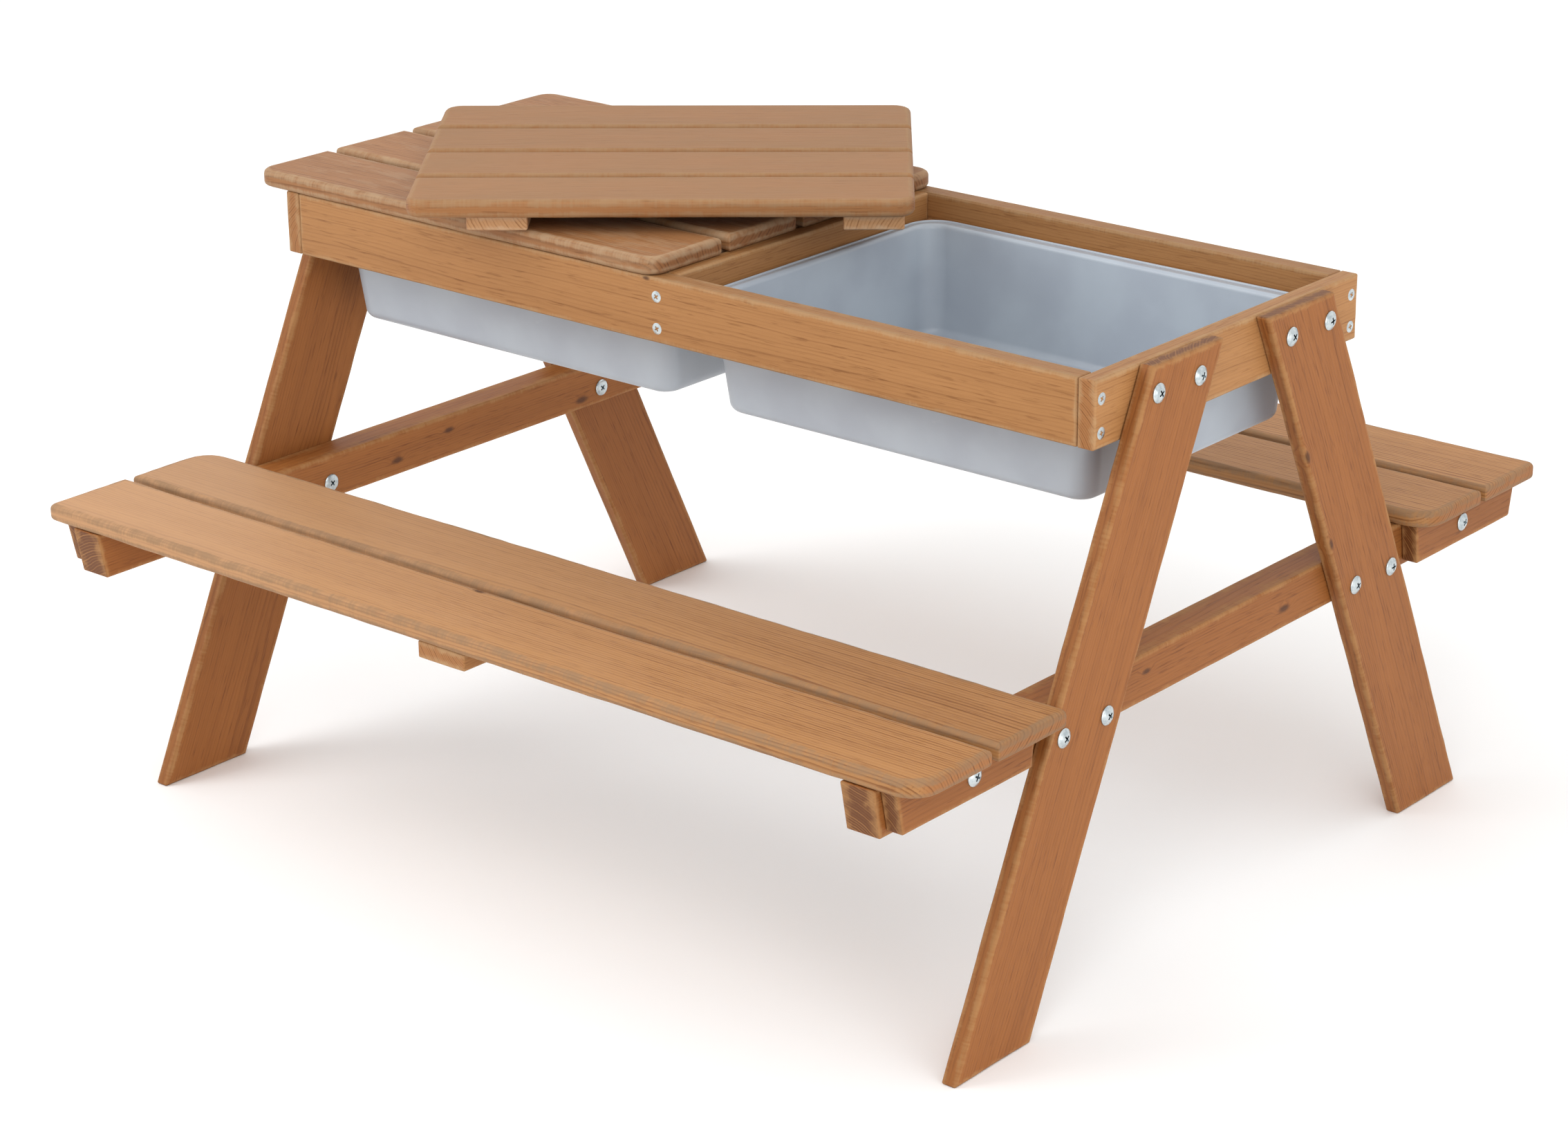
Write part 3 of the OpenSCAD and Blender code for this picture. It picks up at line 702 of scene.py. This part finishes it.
def tub_mesh(name, rim_x, rim_y, depth):
    """Thin-walled tub with a flat rim; the rim's top is at z 0."""
    bm = bmesh.new()
    rings = []
    for entry in tub_profile(depth):
        if entry[0] == "rim":
            _, out, z = entry
            ring = tub_ring(bm, rim_x + out, rim_y + out, TUB_CORNER + RIM_WIDTH_X + out, z)
        else:
            inset, z = entry
            half_x = rim_x - RIM_WIDTH_X - inset
            half_y = rim_y - RIM_WIDTH_Y - inset
            lean = min(max(inset, 0.0), TUB_LEAN)
            ring = tub_ring(bm, half_x, half_y, TUB_CORNER - (inset - lean), z)
        rings.append(ring)
    close_rings(bm, rings)
    bmesh.ops.remove_doubles(bm, verts=bm.verts, dist=SAME_PLACE)
    bmesh.ops.recalc_face_normals(bm, faces=bm.faces)
    mesh = bpy.data.meshes.new(name)
    bm.to_mesh(mesh)
    bm.free()
    mesh.shade_smooth()
    mesh.set_sharp_from_angle(angle=TUB_CREASE)
    return mesh


for side in ("left", "right"):
    node = f"tub_{side}"
    low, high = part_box(node)
    extent = high - low
    mesh = tub_mesh(node + ".shell", extent.x / 2, extent.y / 2, extent.z)
    rim_middle = Vector(((low.x + high.x) / 2, (low.y + high.y) / 2, high.z))
    tub = place_piece(mesh, PLASTIC, node, Matrix.Translation(rim_middle))
    weighted = tub.modifiers.new("flat faces", "WEIGHTED_NORMAL")
    weighted.keep_sharp = True

# ---- fasteners ----

TURN_STEPS = 40
BOLT_HEAD = [(7.5, -3.4), (7.5, -2.5), (7.25, -2.15), (6.7, -1.85), (6.2, -1.6), (5.3, -0.95),
             (4.2, -0.42), (3.0, -0.12), (1.5, 0.0), (0.0, 0.0)]
NUT_HEAD = [(7.5, -2.2), (7.5, -1.4), (7.2, -0.95), (6.5, -0.6), (5.2, -0.3), (3.6, -0.1), (0.0, 0.0)]
SCREW_HEAD = [(2.0, -3.0), (4.55, -0.45), (4.75, -0.2), (4.6, 0.0), (4.0, 0.12), (2.6, 0.22), (0.0, 0.25)]
# size of the cross recess of each kind: reach, half width and depth, in millimetres
BOLT_RECESS = (3.3, 0.75, 1.8)
NUT_RECESS = (3.3, 0.75, 1.3)
SCREW_RECESS = (2.4, 0.7, 1.5)
RECESS_FLOOR = 0.55  # share of that reach and width at the recess's floor
RECESS_MOUTH = 1.15  # share of them where the cutter ends, above the crown
RECESS_RISE = 1  # how far above the crown that is
SHANK_RADIUS = {"bolt": 3.0, "nut": 4.0, "screw": 2.0}
TIP_BEVEL = (0.6, 0.8)  # how much narrower the tip is, over what length
NECK_LAP = 0.2  # how far the shank reaches into the head
METAL_CREASE = math.radians(32)


def turned(bm, profile, matrix=Matrix.Identity(4)):
    """Adds a turned solid; profile is (radius, z) in millimetres from bottom to top."""
    rings = []
    for radius, z in profile:
        if radius == 0:
            rings.append([bm.verts.new(matrix @ Vector((0, 0, z * MM)))])
            continue
        ring = []
        for k in range(TURN_STEPS):
            angle = math.tau * k / TURN_STEPS
            place = Vector((radius * math.cos(angle), radius * math.sin(angle), z)) * MM
            ring.append(bm.verts.new(matrix @ place))
        rings.append(ring)
    for lower, upper in zip(rings, rings[1:]):
        for i in range(TURN_STEPS):
            if len(upper) == 1:
                bm.faces.new((lower[i - 1], lower[i], upper[0]))
            else:
                bm.faces.new((lower[i - 1], lower[i], upper[i], upper[i - 1]))
    bm.faces.new(list(reversed(rings[0])))


def cross_cutter(reach, width, depth, top):
    """Tapered cross that cuts a driver recess down from z = top; sizes in millimetres."""
    bm = bmesh.new()
    for turn in (0, math.pi / 2):
        spin = Matrix.Rotation(turn, 4, "Z")
        corners = []
        for z, share in ((top - depth, RECESS_FLOOR), (top + RECESS_RISE, RECESS_MOUTH)):
            for sx, sy in ((-1, -1), (1, -1), (1, 1), (-1, 1)):
                corner = Vector((sx * reach * share, sy * width * share, z)) * MM
                corners.append(bm.verts.new(spin @ corner))
        bm.faces.new(list(reversed(corners[:4])))
        bm.faces.new(corners[4:])
        for i in range(4):
            j = (i + 1) % 4
            bm.faces.new((corners[i], corners[j], corners[4 + j], corners[4 + i]))
    mesh = bpy.data.meshes.new("cutter")
    bm.to_mesh(mesh)
    bm.free()
    return mesh


def head_mesh(name, profile, recess):
    """Fastener head with a cross recess, whose faces get a darker copy of the zinc: painted shade in the
    recess.
    """
    bm = bmesh.new()
    turned(bm, profile)
    mesh = bpy.data.meshes.new(name)
    bm.to_mesh(mesh)
    bm.free()
    head = bpy.data.objects.new(name, mesh)
    cutter_mesh = cross_cutter(*recess, top=profile[-1][1])
    mesh.materials.append(ZINC)
    cutter_mesh.materials.append(RECESS_SHADE)
    cutter = bpy.data.objects.new(name + " cutter", cutter_mesh)
    for made in (head, cutter):
        bpy.context.scene.collection.objects.link(made)
    cut = head.modifiers.new("recess", "BOOLEAN")
    cut.object = cutter
    cut.solver = "EXACT"
    cut.use_self = True
    cut.material_mode = "TRANSFER"
    graph = bpy.context.evaluated_depsgraph_get()
    done = bpy.data.meshes.new_from_object(head.evaluated_get(graph))
    for made in (head, cutter):
        bpy.data.objects.remove(made)
    return done


def solids_of(node):
    """Boxes of the separate solids in a CAD node, as (lowest corner, highest corner)."""
    mesh = frame["nodes"][node].data
    keys = [tuple(round(part, 6) for part in v.co) for v in mesh.vertices]
    parent = {key: key for key in keys}

    def root(key):
        while parent[key] != key:
            parent[key] = parent[parent[key]]
            key = parent[key]
        return key

    for face in mesh.polygons:
        first = root(keys[face.vertices[0]])
        for vertex in face.vertices[1:]:
            parent[root(keys[vertex])] = first
    groups = {}
    for key in sorted(parent):
        groups.setdefault(root(key), []).append(key)
    corners = [list(zip(*group)) for group in groups.values()]
    return [(Vector(map(min, c)), Vector(map(max, c))) for c in corners]


HEADS = {
    "bolt": head_mesh("bolt head", BOLT_HEAD, BOLT_RECESS),
    "nut": head_mesh("nut head", NUT_HEAD, NUT_RECESS),
    "screw": head_mesh("screw head", SCREW_HEAD, SCREW_RECESS),
}
HEAD_BASE = {"bolt": BOLT_HEAD[0][1], "nut": NUT_HEAD[0][1], "screw": SCREW_HEAD[0][1]}


def outward_x(place):
    """Way from the table's middle to an end."""
    return X * math.copysign(1, place.x)


def inward_x(place):
    """Way from an end to the table's middle."""
    return -X * math.copysign(1, place.x)


def outward_y(place):
    """Way from the table's middle to the front or the back."""
    return Y * math.copysign(1, place.y)


def inward_y(place):
    """Way from the front or the back to the table's middle."""
    return -Y * math.copysign(1, place.y)


def down(place):
    """Way to the floor, from any place."""
    return -Z


# kind of each node's fasteners, and which way their heads face
FASTENERS = {
    "leg_top_bolts": ("bolt", outward_x),
    "beam_bolts": ("bolt", outward_x),
    "bench_bolts": ("bolt", outward_x),
    "leg_top_nuts": ("nut", inward_x),
    "beam_nuts": ("nut", inward_x),
    "bench_nuts": ("nut", inward_x),
    "apron_screws": ("screw", outward_x),
    "divider_screws": ("screw", outward_y),
    "ledge_screws": ("screw", inward_y),
    "bench_front_screws": ("screw", down),
    "bench_back_screws": ("screw", down),
    "lid_left_screws": ("screw", down),
    "lid_right_screws": ("screw", down),
}

for node, (kind, facing) in FASTENERS.items():
    chance = random.Random(node)
    bm = bmesh.new()
    for low, high in solids_of(node):
        centre = (low + high) / 2
        way = facing(centre)
        length = abs((high - low).dot(way))
        crown = centre + way * length / 2
        turn = way.to_track_quat("Z", "Y").to_matrix().to_4x4()
        matrix = Matrix.Translation(crown) @ turn @ Matrix.Rotation(chance.uniform(0, math.pi), 4, "Z")
        count = len(bm.verts)
        bm.from_mesh(HEADS[kind])
        bm.verts.ensure_lookup_table()
        bmesh.ops.transform(bm, matrix=matrix, verts=bm.verts[count:])
        radius = SHANK_RADIUS[kind]
        tip = -length / MM
        neck = HEAD_BASE[kind] + NECK_LAP
        narrower, bevel = TIP_BEVEL
        turned(bm, [(radius - narrower, tip), (radius, tip + bevel), (radius, neck), (0, neck)], matrix)
    mesh = bpy.data.meshes.new(node + ".turned")
    bm.to_mesh(mesh)
    bm.free()
    mesh.shade_smooth()
    mesh.set_sharp_from_angle(angle=METAL_CREASE)
    place_piece(mesh, ZINC, node, Matrix.Identity(4))
    # second slot: the painted shade of the cross recesses
    mesh.materials.append(RECESS_SHADE)

for mesh in HEADS.values():
    bpy.data.meshes.remove(mesh)

# ---- floor, light and camera ----

FLOOR_HALF = 15.0
FLOOR_COLOUR = (0.96, 0.96, 0.955, 1)
WORLD_STRENGTH = 1.05


def floor_material():
    """Plain pale floor."""
    g = Graph("floor")
    g.shader.inputs["Base Color"].default_value = FLOOR_COLOUR
    g.shader.inputs["Roughness"].default_value = 0.9
    g.shader.inputs["Specular IOR Level"].default_value = 0.1
    return g.material


def softbox(name, place, aim, extent, power):
    """Square area light that faces a point."""
    light = bpy.data.lights.new(name, "AREA")
    light.shape = "SQUARE"
    light.size = extent
    light.energy = power
    lamp = bpy.data.objects.new(name, light)
    bpy.context.scene.collection.objects.link(lamp)
    lamp.location = place
    lamp.rotation_mode = "QUATERNION"
    lamp.rotation_quaternion = (Vector(aim) - Vector(place)).to_track_quat("-Z", "Y")


floor_mesh = bpy.data.meshes.new("floor")
floor_signs = ((-1, -1), (1, -1), (1, 1), (-1, 1))
floor_corners = [(sx * FLOOR_HALF, sy * FLOOR_HALF, 0) for sx, sy in floor_signs]
floor_mesh.from_pydata(floor_corners, [], [(0, 1, 2, 3)])
floor_mesh.materials.append(floor_material())
floor = bpy.data.objects.new("floor", floor_mesh)
bpy.context.scene.collection.objects.link(floor)

world = bpy.data.worlds.new("studio")
world.use_nodes = True
world.node_tree.nodes["Background"].inputs["Color"].default_value = (1, 1, 1, 1)
world.node_tree.nodes["Background"].inputs["Strength"].default_value = WORLD_STRENGTH
bpy.context.scene.world = world
softbox("key", (-1.7, -1.7, 2.1), (0, 0, 0.3), 1.6, 26)
softbox("fill", (1.7, -2.2, 2.4), (-0.1, 0, 0.35), 1.4, 20)
softbox("side", (2.5, -0.9, 0.6), (-0.3, 0, 0.3), 1.2, 9)
softbox("back", (0.8, 2.6, 2.4), (0, 0, 0.4), 2.0, 6)

CAMERA_PLACE = Vector((1.8402, -2.1881, 1.2742))
CAMERA_AZIMUTH = math.radians(38.667)
CAMERA_DIP = math.radians(20.517)
SENSOR = 36.0
LENS = 85.09
SHIFT = (-0.06676, -0.00573)

lens = bpy.data.cameras.new("camera")
lens.sensor_fit = "HORIZONTAL"
lens.sensor_width = SENSOR
lens.lens = LENS
lens.shift_x, lens.shift_y = SHIFT
camera = bpy.data.objects.new("camera", lens)
bpy.context.scene.collection.objects.link(camera)
camera.location = CAMERA_PLACE
camera.rotation_euler = (math.pi / 2 - CAMERA_DIP, 0, CAMERA_AZIMUTH)
bpy.context.scene.camera = camera
bpy.context.scene.view_settings.view_transform = "Standard"
